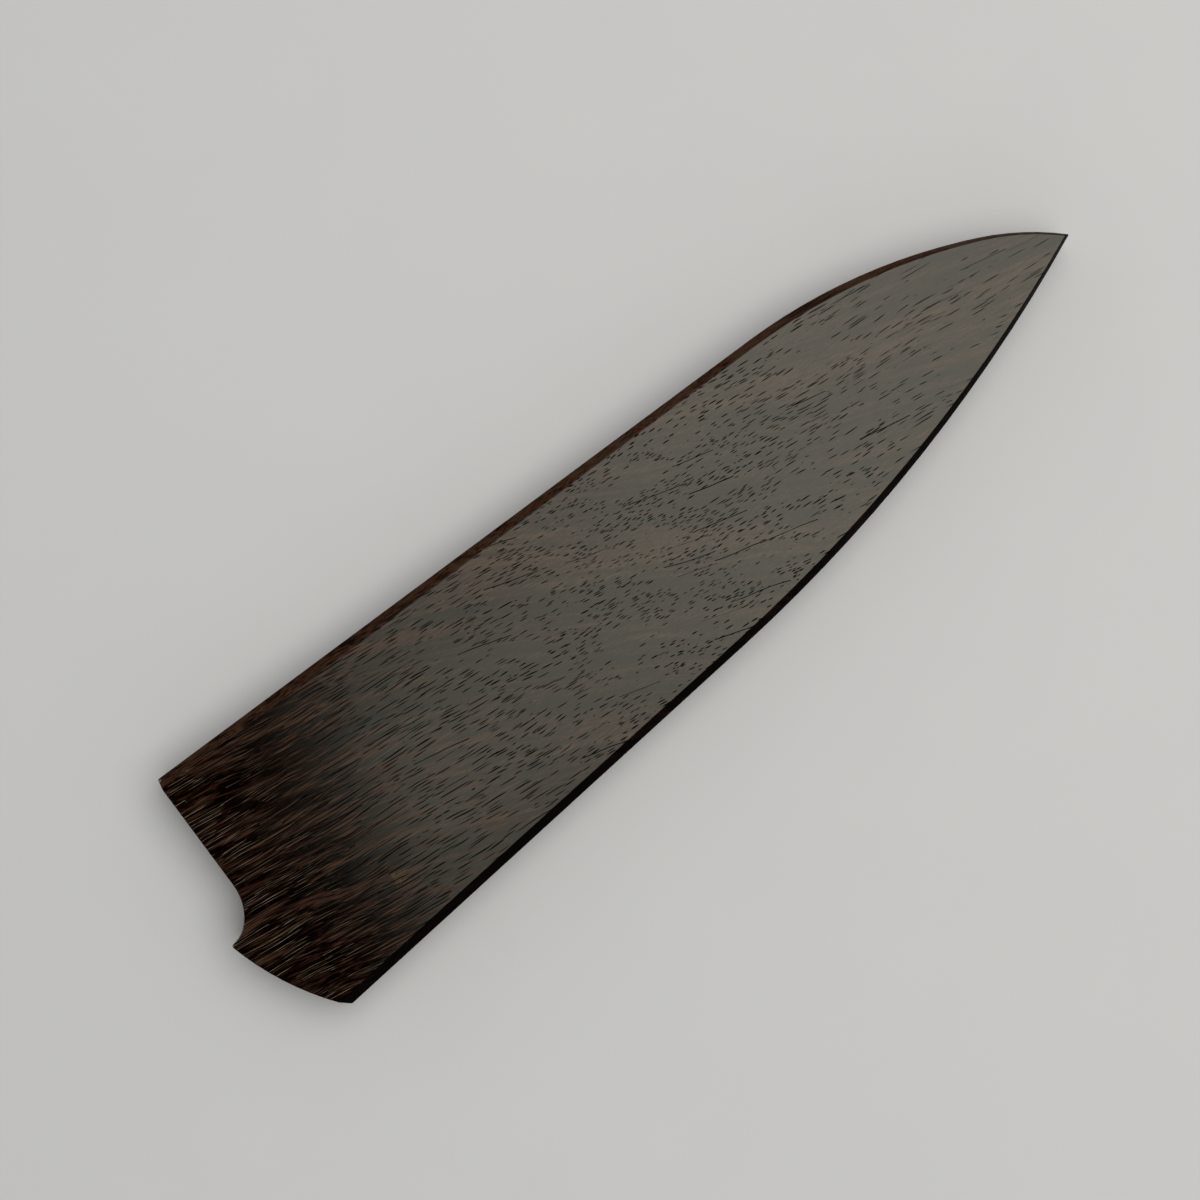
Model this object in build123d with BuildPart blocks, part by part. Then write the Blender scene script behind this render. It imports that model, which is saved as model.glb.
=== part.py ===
from build123d import *
from math import atan, cos, sin
import os

# Wooden sheath for a chef's knife, lying on its back face: two bevelled face panels glued to a core of two
# strips, which leave a flat slot for the blade, with round magnets let into both faces.
# X runs along the straight spine side from the mouth to the tip, Y points to the spine side, Z is up.

# Outline of the widest line, drawn from the corner where the mouth line meets the spine side
spine_run = 134.0
shoulder_run = 44.7
shoulder_drop = 9.9
tip_run = 13.5
tip_fall = 9.3
mouth_width = 53.8
corner_setback = 4.1
edge_run = 96.0
edge_rise = 9.8

# Mouth line: a straight part, a concave notch, a beak and a rounded brow back to the edge side
mouth_flat = 23.5
notch_width = 8.7
beak_reach = 6.9
beak_radius = 0.5
brow_bulge = 1.4

# Layers
face_thickness = 4.0
slot_thickness = 3.0
bevel_drop = 2.2

# Width of the bevelled rim in plan, which narrows towards the tip
spine_bevel_at_mouth = 2.1
edge_bevel_at_mouth = 1.9
bevel_at_bend = 1.5
bevel_at_shoulder = 0.75
bevel_at_tip = 0.6

# Walls that the core strips leave round the blade slot, and their rounded corners at the mouth
spine_wall = 4.6
edge_wall = 6.0
tip_wall = 5.2
lead_in_radius = 1.5

# Magnets, the wooden covers over them and the glue gap round both
magnet_diameter = 8.0
magnet_thickness = 2.0
magnet_chamfer = 0.2
cover_thickness = 0.8
glue_gap = 0.1
magnet_place_shares = {"heel": 0.14, "middle": 0.43, "tip": 0.7}

# How far the cut blanks and the cutting shapes run past the finished outline
overrun = 5.0

tip_reach = spine_run + shoulder_run + tip_run
tip_drop = shoulder_drop + tip_fall
core_top = face_thickness + slot_thickness
total_thickness = core_top + face_thickness
blank_end = -beak_reach - overrun

# Slopes of the two sides, in radians
shoulder_slope = 2 * atan(shoulder_drop / shoulder_run)
spine_slope_at_tip = 2 * atan(tip_fall / tip_run) - shoulder_slope
edge_slope = atan(edge_rise / edge_run)
edge_arc_run = tip_reach - corner_setback - edge_run
edge_arc_rise = mouth_width - edge_rise - tip_drop
edge_slope_at_tip = 2 * atan(edge_arc_rise / edge_arc_run) - edge_slope


def level(height):
    """Plane of a drawing at this height, placed so that the part is centred over its origin."""
    return Plane(origin=((beak_reach - tip_reach) / 2, mouth_width / 2, height))


def shoulder_point(inset):
    """Point where the spine side turns down to the tip, drawn in by the inset."""
    return (
        spine_run + shoulder_run - inset * sin(shoulder_slope),
        -shoulder_drop - inset * cos(shoulder_slope),
    )


def edge_point(reach, inset):
    """Point of the edge side's straight stretch, drawn in by the inset."""
    return (
        reach - inset * sin(edge_slope),
        -mouth_width + (reach - corner_setback) * edge_rise / edge_run + inset * cos(edge_slope),
    )


def tip_point(inset):
    """Tip of an outline whose two sides are both drawn in by the inset."""
    half_angle = (spine_slope_at_tip + edge_slope_at_tip) / 2
    lean = (spine_slope_at_tip - edge_slope_at_tip) / 2
    back = inset / sin(half_angle)
    return (tip_reach - back * cos(lean), -tip_drop + back * sin(lean))


def spine_side(at_mouth, at_bend, at_shoulder, at_tip):
    """Draws the spine side from the blank's end to the tip, and returns its first line."""
    straight = Line((blank_end, -at_mouth), (spine_run, -at_bend))
    shoulder = TangentArc((spine_run, -at_bend), shoulder_point(at_shoulder), tangent=straight % 1)
    TangentArc(shoulder_point(at_shoulder), tip_point(at_tip), tangent=shoulder % 1)
    return straight


def edge_side(at_mouth, at_bend, at_tip):
    """Draws the edge side from the blank's end to the tip, and returns its first line."""
    bend = edge_point(corner_setback + edge_run, at_bend)
    straight = Line(edge_point(blank_end, at_mouth), bend)
    TangentArc(bend, tip_point(at_tip), tangent=straight % 1)
    return straight


def close_outline(spine_straight, edge_straight):
    """Joins the ends of the two sides in front of the mouth."""
    Line(spine_straight @ 0, edge_straight @ 0)


def magnet_centre(share):
    """Centre of a magnet, on the line from the middle of the mouth to the tip."""
    return (share * tip_reach, -mouth_width / 2 + share * (mouth_width / 2 - tip_drop))


magnet_centres = {place: magnet_centre(share) for place, share in magnet_place_shares.items()}

# Waste in front of the mouth line, cut from the glued blank in one go
with BuildPart() as mouth_waste:
    with BuildSketch(level(-overrun)) as waste_outline:
        beak = (-beak_reach, -mouth_flat - notch_width)
        with BuildLine():
            flat = Line((0, overrun), (0, -mouth_flat))
            EllipticalCenterArc((-beak_reach, -mouth_flat), beak_reach, notch_width, arc_size=-90)
            brow = SagittaArc(beak, (corner_setback, -mouth_width), -brow_bulge)
            run_out = Line(brow @ 1, brow @ 1 + (brow % 1) * overrun)
            far = blank_end - overrun
            Polyline(run_out @ 1, (far, (run_out @ 1).Y), (far, overrun), flat @ 0)
        make_face()
        fillet(waste_outline.vertices().sort_by_distance(beak)[0], beak_radius)
    extrude(amount=total_thickness + 2 * overrun)

# Front panel: an upright wall next to the core, then a bevel that leaves the flat face
with BuildPart() as front_face:
    with BuildSketch(level(core_top)):
        with BuildLine():
            close_outline(spine_side(0, 0, 0, 0), edge_side(0, 0, 0))
        make_face()
    extrude(amount=face_thickness - bevel_drop)
    with BuildSketch(level(total_thickness - bevel_drop)):
        with BuildLine():
            close_outline(spine_side(0, 0, 0, 0), edge_side(0, 0, 0))
        make_face()
    with BuildSketch(level(total_thickness)):
        with BuildLine():
            close_outline(
                spine_side(spine_bevel_at_mouth, bevel_at_bend, bevel_at_shoulder, bevel_at_tip),
                edge_side(edge_bevel_at_mouth, bevel_at_bend, bevel_at_tip),
            )
        make_face()
    loft(ruled=True)
    add(mouth_waste.part, mode=Mode.SUBTRACT)
    with BuildSketch(level(core_top)):
        with Locations(*magnet_centres.values()):
            Circle(magnet_diameter / 2 + glue_gap)
    extrude(amount=cover_thickness + magnet_thickness + glue_gap, mode=Mode.SUBTRACT)

# The back panel is the front one's mirror image
middle = Plane.XY.offset(total_thickness / 2)
with BuildPart() as back_face:
    mirror(front_face.part, about=middle)

# Core strips: both end in a mitre from the slot's tip to the sheath's tip
with BuildPart() as spine_strip:
    with BuildSketch(level(face_thickness)):
        with BuildLine():
            outer = spine_side(0, 0, 0, 0)
            inner = spine_side(spine_wall, spine_wall, spine_wall, tip_wall)
            Line(outer @ 0, inner @ 0)
            Line(tip_point(0), tip_point(tip_wall))
        make_face()
    extrude(amount=slot_thickness)
    add(mouth_waste.part, mode=Mode.SUBTRACT)
    mouth_edges = spine_strip.edges().filter_by(Axis.Z).sort_by(Axis.X)[:2]
    fillet(mouth_edges.sort_by(Axis.Y)[0], lead_in_radius)

with BuildPart() as edge_strip:
    with BuildSketch(level(face_thickness)):
        with BuildLine():
            outer = edge_side(0, 0, 0)
            inner = edge_side(edge_wall, edge_wall, tip_wall)
            Line(outer @ 0, inner @ 0)
            Line(tip_point(0), tip_point(tip_wall))
        make_face()
    extrude(amount=slot_thickness)
    add(mouth_waste.part, mode=Mode.SUBTRACT)
    mouth_edges = edge_strip.edges().filter_by(Axis.Z).sort_by(Axis.X)[:2]
    fillet(mouth_edges.sort_by(Axis.Y)[-1], lead_in_radius)

pieces = {
    "front_face": front_face.part,
    "back_face": back_face.part,
    "spine_strip": spine_strip.part,
    "edge_strip": edge_strip.part,
}

# Each magnet lies at the bottom of its pocket, under a cover that is flush with the slot's wall
for place, centre in magnet_centres.items():
    with BuildPart() as cover:
        with BuildSketch(level(core_top)):
            with Locations(centre):
                Circle(magnet_diameter / 2)
        extrude(amount=cover_thickness)
    with BuildPart() as magnet:
        with BuildSketch(level(core_top + cover_thickness)):
            with Locations(centre):
                Circle(magnet_diameter / 2)
        extrude(amount=magnet_thickness)
        chamfer(magnet.edges(), magnet_chamfer)
    with BuildPart() as back_cover:
        mirror(cover.part, about=middle)
    with BuildPart() as back_magnet:
        mirror(magnet.part, about=middle)
    pieces[f"front_{place}_cover"] = cover.part
    pieces[f"front_{place}_magnet"] = magnet.part
    pieces[f"back_{place}_cover"] = back_cover.part
    pieces[f"back_{place}_magnet"] = back_magnet.part

os.makedirs("parts", exist_ok=True)
for name, piece in pieces.items():
    piece.label = name
    export_step(piece, f"parts/{name}.step")
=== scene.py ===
from math import radians

import bmesh
import bpy
from mathutils import Matrix, Vector


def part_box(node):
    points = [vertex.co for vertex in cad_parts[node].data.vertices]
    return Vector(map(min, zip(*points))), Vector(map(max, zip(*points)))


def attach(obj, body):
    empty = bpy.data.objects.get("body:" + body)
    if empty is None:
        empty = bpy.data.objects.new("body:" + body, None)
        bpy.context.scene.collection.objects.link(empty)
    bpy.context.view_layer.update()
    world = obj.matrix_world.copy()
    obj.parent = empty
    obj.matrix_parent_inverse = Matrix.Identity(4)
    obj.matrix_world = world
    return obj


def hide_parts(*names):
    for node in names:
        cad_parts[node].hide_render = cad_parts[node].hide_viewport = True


# A wooden sheath for a chef's knife: four boards of a dark, open-pored wood, lacquered on the faces, and
# inside them three pairs of nickel-plated magnets under thin wooden covers. Metres, X from the mouth to the
# tip, Y to the spine side, Z up.

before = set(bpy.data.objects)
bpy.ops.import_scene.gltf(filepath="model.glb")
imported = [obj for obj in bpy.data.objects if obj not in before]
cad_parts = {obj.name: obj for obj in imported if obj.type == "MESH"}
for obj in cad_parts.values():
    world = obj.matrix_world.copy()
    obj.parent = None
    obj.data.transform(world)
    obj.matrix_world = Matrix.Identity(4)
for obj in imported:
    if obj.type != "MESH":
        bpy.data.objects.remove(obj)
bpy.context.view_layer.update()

MM = 0.001

# The glued seams between the panels and the core
core_low, core_high = (corner.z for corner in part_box("spine_strip"))


class Wire:
    """One output of a finish's nodes. Sums and products of wires add Math nodes."""

    def __init__(self, finish, socket):
        self.finish = finish
        self.socket = socket

    def other(self, output):
        """Another output of the same node."""
        return Wire(self.finish, self.socket.node.outputs[output])

    def math(self, operation, *values):
        return self.finish.node("Math", {"operation": operation}, dict(enumerate(values)))

    def __add__(self, other):
        return self.math("ADD", self, other)

    def __sub__(self, other):
        return self.math("SUBTRACT", self, other)

    def __mul__(self, other):
        return self.math("MULTIPLY", self, other)

    def __truediv__(self, other):
        return self.math("DIVIDE", self, other)

    def __pow__(self, other):
        return self.math("POWER", self, other)

    def __rsub__(self, other):
        return self.math("SUBTRACT", other, self)

    def __abs__(self):
        return self.math("ABSOLUTE", self)

    __radd__ = __add__
    __rmul__ = __mul__


class Finish:
    """A material and its node tree."""

    def __init__(self, name):
        self.material = bpy.data.materials.new(name)
        self.material.use_nodes = True
        self.tree = self.material.node_tree
        self.tree.nodes.clear()

    def node(self, kind, settings=None, sockets=None, output=0):
        """Adds a node with its settings, then its sockets' values or wires, and returns one output."""
        made = self.tree.nodes.new("ShaderNode" + kind)
        for key, value in (settings or {}).items():
            if key == "stops":
                for _ in value[2:]:
                    made.color_ramp.elements.new(0.5)
                for element, (place, tint) in zip(made.color_ramp.elements, value):
                    element.position = place
                    element.color = tint
            else:
                setattr(made, key, value)
        for key, value in (sockets or {}).items():
            if isinstance(value, Wire):
                self.tree.links.new(value.socket, made.inputs[key])
            else:
                made.inputs[key].default_value = value
        return Wire(self, made.outputs[output])

    def place(self, x, y, z):
        """A vector from three coordinates."""
        return self.node("CombineXYZ", None, {"X": x, "Y": y, "Z": z})

    def split(self, vector):
        """The three coordinates of a vector."""
        x = self.node("SeparateXYZ", None, {"Vector": vector})
        return x, x.other("Y"), x.other("Z")

    def gap(self, vector, point):
        """The distance from a vector to a fixed point."""
        return self.node("VectorMath", {"operation": "DISTANCE"}, {0: vector, 1: point}, "Value")

    def noise(self, place, detail=2.0, rough=0.5):
        """Smooth noise about 0.5, with lumps one unit of the place wide."""
        sockets = {"Vector": place, "Scale": 1.0, "Detail": detail, "Roughness": rough}
        return self.node("TexNoise", {"noise_dimensions": "3D"}, sockets)

    def step(self, value, low, high, out_low=0.0, out_high=1.0):
        """Goes smoothly from out_low to out_high as the value goes from low to high."""
        sockets = {"Value": value, "From Min": low, "From Max": high}
        sockets.update({"To Min": out_low, "To Max": out_high})
        return self.node("MapRange", {"interpolation_type": "SMOOTHSTEP"}, sockets)

    def blend(self, share, first, second):
        """A colour between two others."""
        return self.node("Mix", {"data_type": "RGBA"}, {"Factor": share, 6: first, 7: second}, 2)

    def bump(self, height, depth):
        """A normal that follows a height from 0 to 1, which stands for a real depth."""
        return self.node("Bump", None, {"Height": height, "Distance": depth, "Strength": 1.0})

    def close(self, **sockets):
        """Ends the finish in one surface shader."""
        named = {key.replace("_", " "): value for key, value in sockets.items()}
        surface = self.node("BsdfPrincipled", None, named)
        end = self.tree.nodes.new("ShaderNodeOutputMaterial")
        self.tree.links.new(surface.socket, end.inputs["Surface"])
        return self.material


def colour(red, green, blue):
    return (red, green, blue, 1.0)


# Timber, in millimetres. A range of four numbers says from where to where something changes, and its share
# at both ends.

# The vessels run a little across the board, down towards the edge side. They lie along the face at the mouth
# and dive through it further up, where they show as short dashes.
GRAIN_TURN = radians(5.5)
WANDER_LONG, WANDER_LONG_BY = (45.0, 16.0), 5.0
WANDER_SHORT, WANDER_SHORT_BY = (12.0, 3.0), 0.7
DIVE_MIDDLE, DIVE_REACH, DIVE_DEPTH = 5.0, 32.0, 3.8
DIVE_REST, DIVE_CURVE = 0.042, 0.0001
DIVE_PATCH, DIVE_PATCH_BY = (16.0, 7.0), 1.0

# Fine fibres and patches: their size along the grain, across it and in depth, and how strongly they show
FIBRE_SIZE, FIBRE_DETAIL, FIBRE_ROUGH, FIBRE_SHARE = (17.0, 0.27), 2.0, 0.6, 2.1
PATCH_SIZE, PATCH_SHARE = (9.0, 1.4, 1.4), 0.95

# Growth bands cross the vessels, most steeply in the middle of the board
BAND_SLOPE, BAND_REACH, BAND_DEPTH = 0.08, 60.0, 24.0
RIBBON_SIZE, RIBBON_SHARE = (22.0, 1.1, 3.0), 0.6
BAND_SIZE, BAND_SHARE = (70.0, 2.4, 8.0), 0.6
SWEEP_SIZE, SWEEP_SHARE = (110.0, 8.0, 16.0), 0.7

# The mouth end along X, where all marks are stronger
MOUTH = (-65.0, -18.0, 1.0, 0.0)
MOUTH_FINE_GAIN, MOUTH_BROAD_GAIN = 0.25, 0.4

# How light the wood is: paler with X and along the spine side, darker at the mouth and most at its spine
# side, and darker in two places along a rim
PALER_WITH_X = 0.0004
PALE_SIDE = (13.0, 24.0, 0.0, 0.1)
DARK_MOUTH = (-85.0, -50.0, 1.0, 0.0)
DARK_MOUTH_SIDES = (-8.0, 14.0, 0.05, 0.13)
DARK_STRETCH_MIDDLE, DARK_STRETCH_APART, DARK_STRETCH_FULL, DARK_STRETCH_END = 14.0, 100.0, 6.0, 28.0
WOOD_STOPS = [
    (0.24, colour(0.0006, 0.0002, 0.0001)),
    (0.40, colour(0.0036, 0.0016, 0.0010)),
    (0.55, colour(0.0110, 0.0053, 0.0034)),
    (0.68, colour(0.0250, 0.0119, 0.0072)),
    (0.84, colour(0.0470, 0.0248, 0.0160)),
]

# Reddish streaks, short ones along the fibres and long ones along the bands
HUE_SIZE, HUE_RANGE = (2.0, 0.8), (0.0, 0.3, 0.0, 0.5)
ROSY_SIZE, ROSY_RANGE = (30.0, 0.55, 3.0), (0.06, 0.2, 0.0, 0.6)
ROSY_COLOUR = colour(0.034, 0.012, 0.009)
RUSSET_COLOUR = colour(0.043, 0.0135, 0.0060)

# Vessels stand in clusters: the size of the cell that holds one, their radius, how many cells have one, how
# sharply a cell is picked, and how faint they get towards the tip
VESSEL_CELL = (14.0, 0.5, 0.32)
VESSEL_SCATTER = 0.8
VESSEL_RADIUS, VESSEL_EDGE = 0.09, 0.03
GIRTH_LEAST, GIRTH_SPREAD = 0.8, 0.4
CLUSTER_SIZE, CLUSTER_RANGE = (14.0, 3.5, 5.0), (-0.12, 0.12, 0.12, 0.8)
MOUTH_CROWD = 0.1
TIP_CROWD = (35.0, 85.0, 1.0, 0.4)
TIP_FAINT = (30.0, 80.0, 1.0, 0.78)
PICK_EDGE = 0.02
VESSEL_COLOUR, VESSEL_STAIN = colour(0.0025, 0.0009, 0.0004), 0.95

# Fine dark lines that cross the vessels here and there
HAIR_CELL, HAIR_RADIUS, HAIR_LEAN, HAIR_SHARE = (8.0, 3.5, 1.2), 0.08, 0.4, 0.6

# Painted glints: pale lines painted along one side of some of the open vessels at the mouth, standing for
# pore walls that catch the light, brighter in places
GLINT_LINE_WIDTH = 0.06
GLINT_LINE_START, GLINT_LINE_END = -96.0, -68.0
GLINT_LINE_THIN_OUT = 1.3
GLINT_SIZE, GLINT_RANGE = (2.5, 0.5), (-0.2, 0.3, 0.2, 1.0)
PAINTED_GLINT_COLOUR = colour(0.235, 0.205, 0.175)

# Painted highlights where edges catch the light: a dot on the mouth's spine corner, and the notch's arris
# next to the beak
CORNER_HIGHLIGHT_PLACE, CORNER_HIGHLIGHT_RANGE, CORNER_HIGHLIGHT_FRAY = (-92.5, 26.4, 9.2), (0.1, 0.6, 0.8, 0.0), 2.0
NOTCH_ARRIS, NOTCH_FULL, NOTCH_END, NOTCH_FRAY = (-98.2, -4.0, 10.9), 2.2, 3.6, 4.0
PAINTED_HIGHLIGHT_COLOUR = colour(0.300, 0.285, 0.260)

# A few golden specks on the front, a little way in from the mouth
FLECK_PLACE, FLECK_REACH = (-67.5, -13.5, 11.0), (0.8, 2.4, 1.0, 0.0)
FLECK_SIZE, FLECK_EDGE, FLECK_SHARE = (1.6, 0.3), (0.03, 0.12), 0.6
FLECK_COLOUR = colour(0.085, 0.055, 0.020)

SEAM_WIDTH = 0.15

# Gloss: the lacquer is dull over dark spots and pale streaks at the mouth, and full from the middle on. It
# is a little duller along both sides of the mouth's half.
DARK_LEVELS = (0.37, 0.60, 1.0, 0.1)
DARK_DULL = (-94.0, -55.0, 0.9, 0.0)
STREAK_LEVELS = (-0.02, 0.18)
STREAK_DULL = (-70.0, -30.0, 0.33, 0.0)
EARLY_DULL = (-50.0, 30.0, 0.13, 0.0)
SIDES = (7.0, 20.0, 0.0, 1.0)
SIDES_DULL = (-35.0, 15.0, 0.14, 0.0)
LACQUER_ROUGHNESS = 0.14

# The wood's own surface
WOOD_ROUGHNESS, FIBRE_ROUGHENS, VESSEL_ROUGHENS = 0.5, 0.2, 0.4
FIBRE_HEIGHT = 0.15
VESSEL_DEPTH = 0.08 * MM


def timber(name, tone=0.5, shift=0.0, roll=0.0, coat=0.0, calm=0.5, painted_glints=0.0, shine=0.1, seams=0.8,
           opens=1.0, notch_highlight=0.0, dark_stretch=0.0, blush=1.0, blush_colour=ROSY_COLOUR):
    """A dark brown open-pored wood.

    The shift moves along the log, and the roll turns the board in it. A higher tone is lighter. Calm takes
    contrast from the fibres, and opens gives it back at the mouth. Coat is the lacquer, and shine the gloss
    of the wood under it. The painted glints, seams, notch highlight, dark stretch and blush arguments say how
    strongly the painted glints along the vessels, the glue lines, the painted highlight at the notch, the two
    darker stretches along a rim and the reddish streaks show, which have the blush colour.
    """
    wood = Finish(name)
    scaled = {"Vector": wood.node("TexCoord", None, None, "Object"), "Scale": 1 / MM}
    at = wood.node("VectorMath", {"operation": "SCALE"}, scaled)
    x, y, z = wood.split(at)
    turned = {"Vector": at, "Location": (shift, 0, 0), "Rotation": (roll, 0, GRAIN_TURN)}
    u, v, w = wood.split(wood.node("Mapping", {"vector_type": "POINT"}, turned))

    def lumps(length, width):
        return wood.noise(wood.place(u / length, v / width, w / width)) - 0.5

    def swing(middle, reach, depth):
        return x.math("TANH", (x - middle) / reach) * depth

    v_fine = v + lumps(*WANDER_LONG) * WANDER_LONG_BY + lumps(*WANDER_SHORT) * WANDER_SHORT_BY
    dive = swing(DIVE_MIDDLE, DIVE_REACH, DIVE_DEPTH) + x * DIVE_REST + x * x * DIVE_CURVE
    w_fine = w + dive + lumps(*DIVE_PATCH) * DIVE_PATCH_BY
    lean = x * BAND_SLOPE + swing(0, BAND_REACH, BAND_DEPTH)
    across_bands = v_fine + lean

    def fibres(length, width, detail=2.0, rough=0.5):
        return wood.noise(wood.place(u / length, v_fine / width, w_fine / width), detail, rough) - 0.5

    def bands(length, width, depth):
        return wood.noise(wood.place(u / length, across_bands / width, w / depth)) - 0.5

    near_mouth = wood.step(x, *MOUTH)
    fibre = fibres(*FIBRE_SIZE, FIBRE_DETAIL, FIBRE_ROUGH)
    patch = bands(*PATCH_SIZE)
    fine = fibre * FIBRE_SHARE + patch * PATCH_SHARE
    fine = fine * (1 - calm + near_mouth * opens * (calm + MOUTH_FINE_GAIN))
    broad = bands(*RIBBON_SIZE) * RIBBON_SHARE + bands(*BAND_SIZE) * BAND_SHARE
    broad = broad * (1 + near_mouth * opens * MOUTH_BROAD_GAIN) + bands(*SWEEP_SIZE) * SWEEP_SHARE
    level = fine + broad + tone + x * PALER_WITH_X + wood.step(y, *PALE_SIDE)
    level = level - wood.step(x, *DARK_MOUTH) * wood.step(y, *DARK_MOUTH_SIDES)
    from_dark_stretch = abs(abs(x - DARK_STRETCH_MIDDLE) - DARK_STRETCH_APART / 2)
    level = level - wood.step(from_dark_stretch, DARK_STRETCH_FULL, DARK_STRETCH_END, dark_stretch, 0.0)
    wood_colour = wood.node("ValToRGB", {"stops": WOOD_STOPS}, {"Fac": level})
    rosy = (wood.step(fibres(*HUE_SIZE), *HUE_RANGE) + wood.step(bands(*ROSY_SIZE), *ROSY_RANGE)) * blush

    def tubes(place, size, radius):
        """How far a place is inside the nearest of many fine tubes, that tube's own random number, and the
        place's distance past the tube's side and below its middle."""
        cell = wood.place(*(coordinate / side for coordinate, side in zip(place, size)))
        voronoi = {"voronoi_dimensions": "3D", "feature": "F1"}
        sockets = {"Vector": cell, "Scale": 1.0, "Randomness": VESSEL_SCATTER}
        nearest = wood.node("TexVoronoi", voronoi, sockets, "Position")
        apart = wood.node("VectorMath", {"operation": "SUBTRACT"}, {0: cell, 1: nearest})
        _, across, down = wood.split(apart)
        across, down = across * size[1], down * size[2]
        chance, girth, _ = wood.split(nearest.other("Color"))
        radius = (girth * GIRTH_SPREAD + GIRTH_LEAST) * radius
        outside = (across * across + down * down) ** 0.5 - radius
        return 1 - wood.step(outside, -VESSEL_EDGE, VESSEL_EDGE), chance, across - radius, down

    crowd = wood.step(bands(*CLUSTER_SIZE) + near_mouth * MOUTH_CROWD, *CLUSTER_RANGE)
    crowd = crowd * wood.step(x, *TIP_CROWD)
    vessel, chance, beside, down = tubes((u, v_fine, w_fine), VESSEL_CELL, VESSEL_RADIUS)
    vessel = vessel * wood.step(crowd - chance, -PICK_EDGE, PICK_EDGE)
    hair, rare, _, _ = tubes((u, v_fine + lean * HAIR_LEAN, w), HAIR_CELL, HAIR_RADIUS)
    vessel = vessel + hair * wood.step(HAIR_SHARE - rare, 0.0, PICK_EDGE) * (1 - vessel)
    vessel = vessel * wood.step(x, *TIP_FAINT)

    # Painted glints: a thin pale line along one side of some vessels near the mouth, a painted highlight
    glint_mask = 1 - wood.step(abs(beside - GLINT_LINE_WIDTH / 2), GLINT_LINE_WIDTH / 2, GLINT_LINE_WIDTH)
    glint_mask = glint_mask * (1 - wood.step(abs(down), GLINT_LINE_WIDTH, GLINT_LINE_WIDTH * 2))
    glint_mask = glint_mask * wood.step(x, GLINT_LINE_START, GLINT_LINE_END, painted_glints, 0.0)
    glint_mask = glint_mask * wood.step(crowd - chance * GLINT_LINE_THIN_OUT, -PICK_EDGE, PICK_EDGE)
    glint_mask = glint_mask * wood.step(fibres(*GLINT_SIZE), *GLINT_RANGE)

    # Painted highlights: a pale dot on the mouth's spine corner and pale flecks along the notch's arris,
    # where these edges catch the light
    corner = wood.step(wood.gap(at, CORNER_HIGHLIGHT_PLACE) + fibre * CORNER_HIGHLIGHT_FRAY, *CORNER_HIGHLIGHT_RANGE)
    notch = wood.step(wood.gap(at, NOTCH_ARRIS) + fibre * NOTCH_FRAY, NOTCH_FULL, NOTCH_END, notch_highlight, 0.0)
    painted_highlight = corner + notch * (1 - corner)
    fleck = wood.step(fibres(*FLECK_SIZE), *FLECK_EDGE) * wood.step(wood.gap(at, FLECK_PLACE), *FLECK_REACH)
    seam = z.math("MINIMUM", abs(z - core_low / MM), abs(z - core_high / MM))
    seam = wood.step(seam, SEAM_WIDTH / 2, SEAM_WIDTH, seams, 0.0)
    # The colour takes in the painted glints, the golden specks, the dark glue lines and the painted
    # highlights
    lined = wood.blend(glint_mask, wood.blend(rosy, wood_colour, blush_colour), PAINTED_GLINT_COLOUR)
    lined = wood.blend(fleck * FLECK_SHARE, lined, FLECK_COLOUR)
    lined = wood.blend(painted_highlight, wood.blend(seam, lined, VESSEL_COLOUR), PAINTED_HIGHLIGHT_COLOUR)

    dull = wood.step(level, *DARK_LEVELS) * wood.step(x, *DARK_DULL)
    dull = dull + wood.step(fibre + patch, *STREAK_LEVELS) * wood.step(x, *STREAK_DULL)
    dull = dull + wood.step(x, *EARLY_DULL)
    dull = dull + wood.step(abs(y), *SIDES) * wood.step(x, *SIDES_DULL)
    gloss = wood.node("Math", {"operation": "SUBTRACT", "use_clamp": True}, {0: 1.0, 1: dull})
    return wood.close(
        Base_Color=wood.blend(vessel * VESSEL_STAIN, lined, VESSEL_COLOUR),
        Roughness=WOOD_ROUGHNESS + fibre * FIBRE_ROUGHENS + vessel * VESSEL_ROUGHENS,
        Specular_IOR_Level=shine,
        Coat_Weight=(1 - vessel) * gloss * coat if coat else 0.0,
        Coat_Roughness=LACQUER_ROUGHNESS,
        Normal=wood.bump((1 - vessel) + fibre * FIBRE_HEIGHT, VESSEL_DEPTH),
    )


# Nickel plating: brush marks per metre, and the roughness between and in them
NICKEL_COLOUR = colour(0.72, 0.70, 0.66)
BRUSH_SCALE = (300.0, 6000.0, 2000.0)
BRUSH_DETAIL, BRUSH_ROUGH = 3.0, 0.6
NICKEL_ROUGHNESS, BRUSH_ROUGHENS = 0.16, 0.16
BRUSH_DEPTH = 0.004 * MM


def nickel(name):
    """Bright plating with a faint brushed grain."""
    metal = Finish(name)
    at = metal.node("TexCoord", None, None, "Object")
    stretched = metal.node("Mapping", None, {"Vector": at, "Scale": BRUSH_SCALE})
    grain = metal.noise(stretched, BRUSH_DETAIL, BRUSH_ROUGH)
    return metal.close(
        Base_Color=NICKEL_COLOUR,
        Metallic=1.0,
        Roughness=NICKEL_ROUGHNESS + grain * BRUSH_ROUGHENS,
        Normal=metal.bump(grain, BRUSH_DEPTH),
    )


# Boards: the round that finishing paper leaves on worked edges. Glued joints stay crisp.
ROUND_WIDTH = 0.25 * MM
ROUND_STEPS = 4
WORKED_TURN = radians(20)
CRISP_TURN = radians(40)
FLAT_TURN = radians(0.3)
WELD = 0.001 * MM
SEAM_MARGIN = 0.02 * MM
POCKET_MARGIN = 1.2

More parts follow.
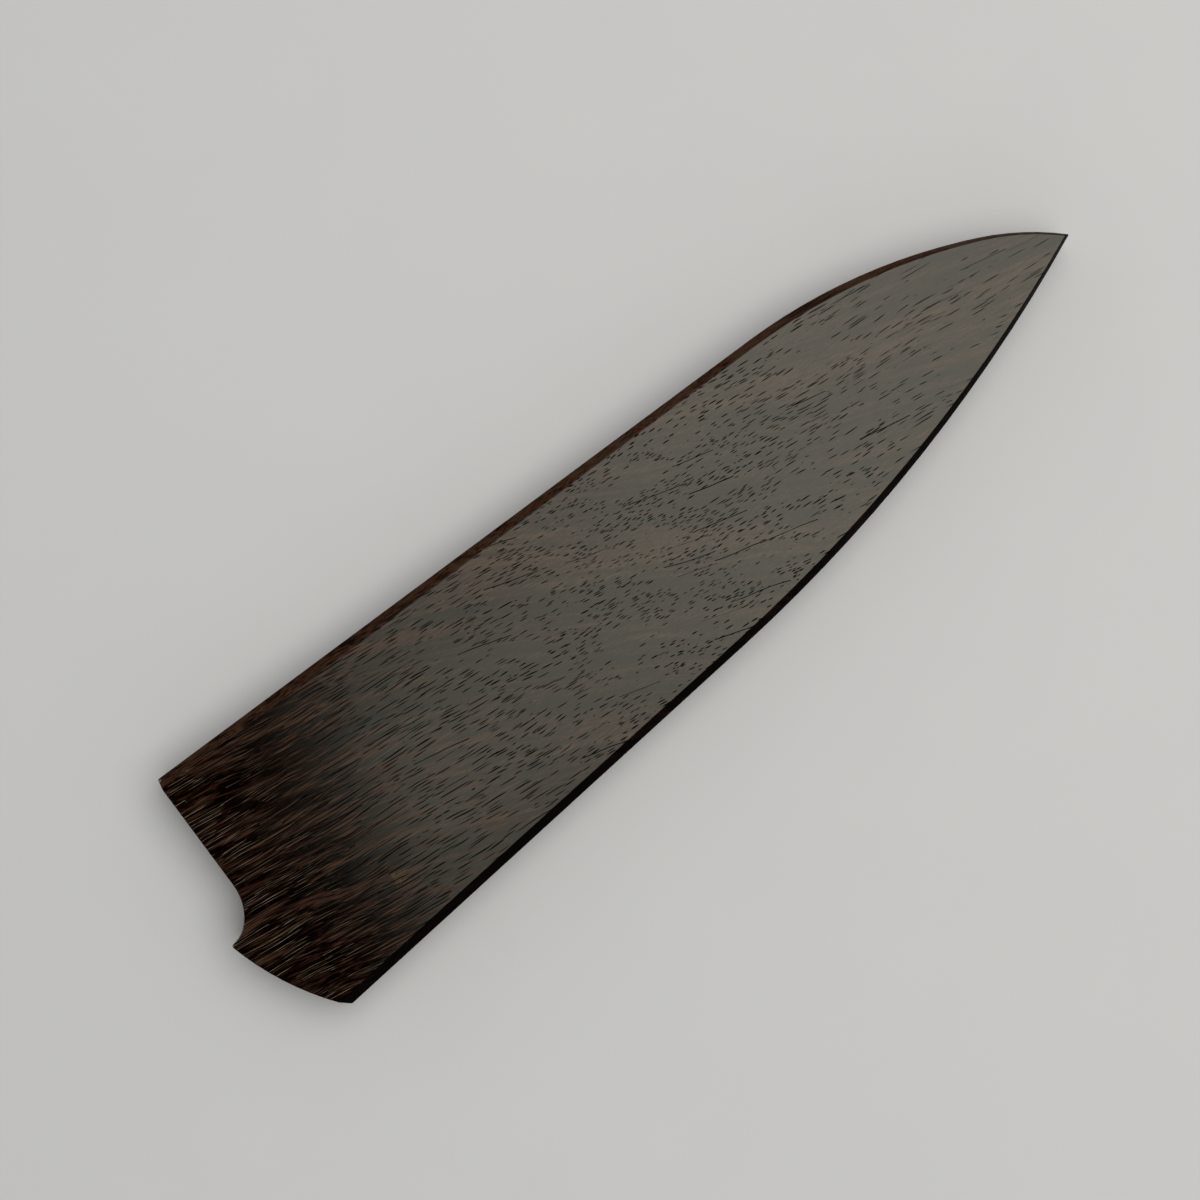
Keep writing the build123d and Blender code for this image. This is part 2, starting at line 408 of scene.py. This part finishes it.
# The places on a board, in the order of its list of finishes, and how steep their faces are
FACE, SPINE_RIM, EDGE_RIM, WALL, INSIDE, EDGE_WALL = range(6)
FACE_RISE, RIM_RISE = 0.85, 0.12
EDGE_WALL_TURN = -0.8

pocket_centres = [sum(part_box(node), Vector()) / 2 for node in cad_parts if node.endswith("magnet")]
pocket_reach = POCKET_MARGIN * max((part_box("front_tip_magnet")[1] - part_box("front_tip_magnet")[0]).xy) / 2


def is_worked(edge, seams):
    """True for a corner that shows on the outside, away from the glued seams and the magnets' pockets."""
    if len(edge.link_faces) != 2 or edge.calc_face_angle() < WORKED_TURN:
        return False
    on_seam = any(all(abs(vert.co.z - seam) < SEAM_MARGIN for vert in edge.verts) for seam in seams)
    middle = (edge.verts[0].co + edge.verts[1].co) / 2
    in_pocket = any((middle - centre).xy.length < pocket_reach for centre in pocket_centres)
    return not on_seam and not in_pocket


def place_of(face, seams):
    """Which of a board's places a face belongs to, by where it lies and the way it faces."""
    if any(abs(face.calc_center_median().z - seam) < SEAM_MARGIN for seam in seams):
        return INSIDE
    rise = abs(face.normal.z)
    if rise < RIM_RISE:
        return EDGE_WALL if face.normal.y < EDGE_WALL_TURN else WALL
    if rise > FACE_RISE:
        return FACE
    return SPINE_RIM if face.normal.y > 0 else EDGE_RIM


def board(name, node, finishes, seams):
    """A board in its finishes: the CAD board's own shape, with its worked edges rounded over."""
    bm = bmesh.new()
    bm.from_mesh(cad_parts[node].data)
    bmesh.ops.remove_doubles(bm, verts=bm.verts, dist=WELD)
    bmesh.ops.dissolve_limit(bm, angle_limit=FLAT_TURN, verts=bm.verts, edges=bm.edges)
    corners = [edge for edge in bm.edges if is_worked(edge, seams)]
    bmesh.ops.bevel(
        bm, geom=corners, offset=ROUND_WIDTH, offset_type="OFFSET", segments=ROUND_STEPS,
        profile=0.5, affect="EDGES", clamp_overlap=True, material=-1,
    )
    for face in bm.faces:
        face.smooth = True
        face.material_index = place_of(face, seams)
    mesh = bpy.data.meshes.new(name)
    bm.to_mesh(mesh)
    bm.free()
    mesh.set_sharp_from_angle(angle=CRISP_TURN)
    for finish in finishes:
        mesh.materials.append(finish)
    piece = bpy.data.objects.new(name, mesh)
    bpy.context.scene.collection.objects.link(piece)
    weights = piece.modifiers.new("even_shading", "WEIGHTED_NORMAL")
    weights.keep_sharp = True
    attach(piece, "root")
    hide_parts(node)


face_finish = timber("face_lacquer", coat=1.0, painted_glints=1.0, shine=0.0)
# Painted light: the spine rim's wood is painted much lighter than the face's, for the bevel on the side
# toward the light; its reddish streaks are the wood's own colour
lit_spine_rim = timber("spine_rim_oil_painted_light", tone=0.82, calm=0.3, shine=0.01, notch_highlight=0.7, dark_stretch=0.24, blush=2.8,
                   blush_colour=RUSSET_COLOUR)
# Painted shade: the edge rim's wood is painted nearly black, for the bevel on the side away from the light
shaded_edge_rim = timber("edge_rim_oil_painted_shade", tone=0.20, calm=0.95, shine=0.01, opens=0.0, blush=0.15)
wall_finish = timber("wall_oil", tone=0.52)
# Painted shade: the wall on the edge side is painted darker than the other walls, to go with the dark edge
# rim
shaded_edge_wall = timber("edge_wall_oil_painted_shade", tone=0.37, shine=0.04)
core_finish = timber("core_oil", tone=0.62, shift=400.0, roll=radians(70))
# Painted shade: the core on the edge side is painted darker than the rest of the core
shaded_edge_core = timber("edge_core_oil_painted_shade", tone=0.42, shift=400.0, roll=radians(70), shine=0.04)
slot_finish = timber("slot_wood", tone=0.66, seams=0.0)
cover_finish = timber("cover_wood", tone=0.66, shift=800.0, seams=0.0)
plating = nickel("magnet_nickel")

panel_finishes = [face_finish, lit_spine_rim, shaded_edge_rim, wall_finish, slot_finish, shaded_edge_wall]
board("front_board", "front_face", panel_finishes, [core_high])
board("back_board", "back_face", panel_finishes, [core_low])
board("spine_board", "spine_strip", [core_finish] * 6, [core_low, core_high])
board("edge_board", "edge_strip", [core_finish] * 5 + [shaded_edge_core], [core_low, core_high])

for node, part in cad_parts.items():
    if not part.hide_render:
        part.data.materials.clear()
        part.data.materials.append(plating if node.endswith("magnet") else cover_finish)

# Camera: straight over the sheath, turned so that the sheath lies across the picture as photographed
LENS = 72.0
SENSOR = 36.0
PICTURE_SIDE = 1200
PIXELS_PER_MM = 5.5
LOOKS_AT = Vector((-8.57 * MM, 5.16 * MM, 8.8 * MM))
PICTURE_RIGHT = Vector((0.8028, -0.5962, 0.0))
NEAREST, FARTHEST = 0.01, 50.0

camera = bpy.data.objects.new("camera", bpy.data.cameras.new("camera"))
camera.data.lens = LENS
camera.data.sensor_width = SENSOR
camera.data.clip_start = NEAREST
camera.data.clip_end = FARTHEST
distance = LENS / SENSOR * PICTURE_SIDE / PIXELS_PER_MM * MM
picture_up = Vector((0, 0, 1)).cross(PICTURE_RIGHT)
turn = Matrix((PICTURE_RIGHT, picture_up, (0, 0, 1))).transposed().to_4x4()
camera.matrix_world = Matrix.Translation(LOOKS_AT + Vector((0, 0, distance))) @ turn
bpy.context.scene.collection.objects.link(camera)
bpy.context.scene.camera = camera

# Studio: the floor's glow far out, the brightness of the walls by height, and that of the ceiling by height
# and along X
FLOOR_TINTS = colour(0.60, 0.61, 0.70), colour(0.62, 0.63, 0.72)
FLOOR_MOTTLE, FLOOR_DETAIL = (40.0, 40.0, 40.0), 4.0
FLOOR_ROUGHNESS, FLOOR_SHINE = 0.85, 0.2
FLOOR_REACH = 6.0
GLOW_START, GLOW_END = 0.3, 1.8
NO_GLOW, FAR_GLOW = colour(0.0, 0.0, 0.0), colour(0.30, 0.30, 0.30)
WALL_LIGHT = (0.5, 0.72, 0.6, 0.02)
CEILING_RISE = (0.6, 0.8, 0.0, 1.0)
CEILING_LIGHT = (-0.12, 0.16, 0.0, 0.68)
SKY_TINT = (1.0, 0.98, 0.87)

# A lamp of this power per square metre looks as bright as a white wall
LAMP_POWER_SHARE = 4.0


def floor():
    """A plain pale table top, which glows far out like a lit backdrop."""
    paint = Finish("floor_paint")
    at = paint.node("TexCoord", None, None, "Object")
    mottle = paint.noise(paint.node("Mapping", None, {"Vector": at, "Scale": FLOOR_MOTTLE}), FLOOR_DETAIL)
    far = paint.step(paint.gap(at, (0.0, 0.0, 0.0)), GLOW_START, GLOW_END)
    finish = paint.close(
        Base_Color=paint.blend(mottle, *FLOOR_TINTS),
        Roughness=FLOOR_ROUGHNESS,
        Specular_IOR_Level=FLOOR_SHINE,
        Emission_Color=paint.blend(far, NO_GLOW, FAR_GLOW),
        Emission_Strength=1.0,
    )
    bm = bmesh.new()
    bmesh.ops.create_grid(bm, x_segments=1, y_segments=1, size=FLOOR_REACH)
    mesh = bpy.data.meshes.new("floor")
    bm.to_mesh(mesh)
    bm.free()
    mesh.materials.append(finish)
    sheet = bpy.data.objects.new("floor", mesh)
    bpy.context.scene.collection.objects.link(sheet)


def softbox(name, near_edge, height, size, turn, radiance, tint):
    """A rectangular soft lamp that faces down. Its long edge nearest the mouth passes over near_edge."""
    lamp = bpy.data.lights.new(name, "AREA")
    lamp.shape = "RECTANGLE"
    lamp.size, lamp.size_y = size
    lamp.energy = radiance * LAMP_POWER_SHARE * size[0] * size[1]
    lamp.color = tint
    body = bpy.data.objects.new(name, lamp)
    body.rotation_euler = (0, 0, turn)
    inwards = body.rotation_euler.to_matrix() @ Vector((size[0] / 2, 0, 0))
    body.location = Vector((*near_edge, height)) + inwards
    bpy.context.scene.collection.objects.link(body)


def sky(tint):
    """Pale studio walls all round, and a ceiling that grows brighter away from the mouth's side."""
    world = bpy.data.worlds.new("studio")
    world.use_nodes = True
    tree = world.node_tree
    tree.nodes.clear()
    place = tree.nodes.new("ShaderNodeTexCoord")
    split = tree.nodes.new("ShaderNodeSeparateXYZ")
    tree.links.new(place.outputs["Generated"], split.inputs["Vector"])

    def ramp(axis, stops):
        rise = tree.nodes.new("ShaderNodeMapRange")
        rise.interpolation_type = "SMOOTHSTEP"
        for socket, value in zip(("From Min", "From Max", "To Min", "To Max"), stops):
            rise.inputs[socket].default_value = value
        tree.links.new(split.outputs[axis], rise.inputs["Value"])
        return rise.outputs["Result"]

    def joined(operation, first, second):
        made = tree.nodes.new("ShaderNodeMath")
        made.operation = operation
        tree.links.new(first, made.inputs[0])
        tree.links.new(second, made.inputs[1])
        return made.outputs[0]

    ceiling = joined("MULTIPLY", ramp("Z", CEILING_RISE), ramp("X", CEILING_LIGHT))
    light = tree.nodes.new("ShaderNodeBackground")
    light.inputs["Color"].default_value = (*tint, 1)
    out = tree.nodes.new("ShaderNodeOutputWorld")
    tree.links.new(joined("ADD", ramp("Z", WALL_LIGHT), ceiling), light.inputs["Strength"])
    tree.links.new(light.outputs["Background"], out.inputs["Surface"])
    bpy.context.scene.world = world


floor()
sky(SKY_TINT)
softbox(
    "key_softbox", near_edge=(-0.185, 0.05), height=1.1, size=(1.3, 1.5), turn=radians(-15.6),
    radiance=1.45, tint=(1.0, 0.973, 0.80),
)

bpy.context.scene.view_settings.view_transform = "Standard"
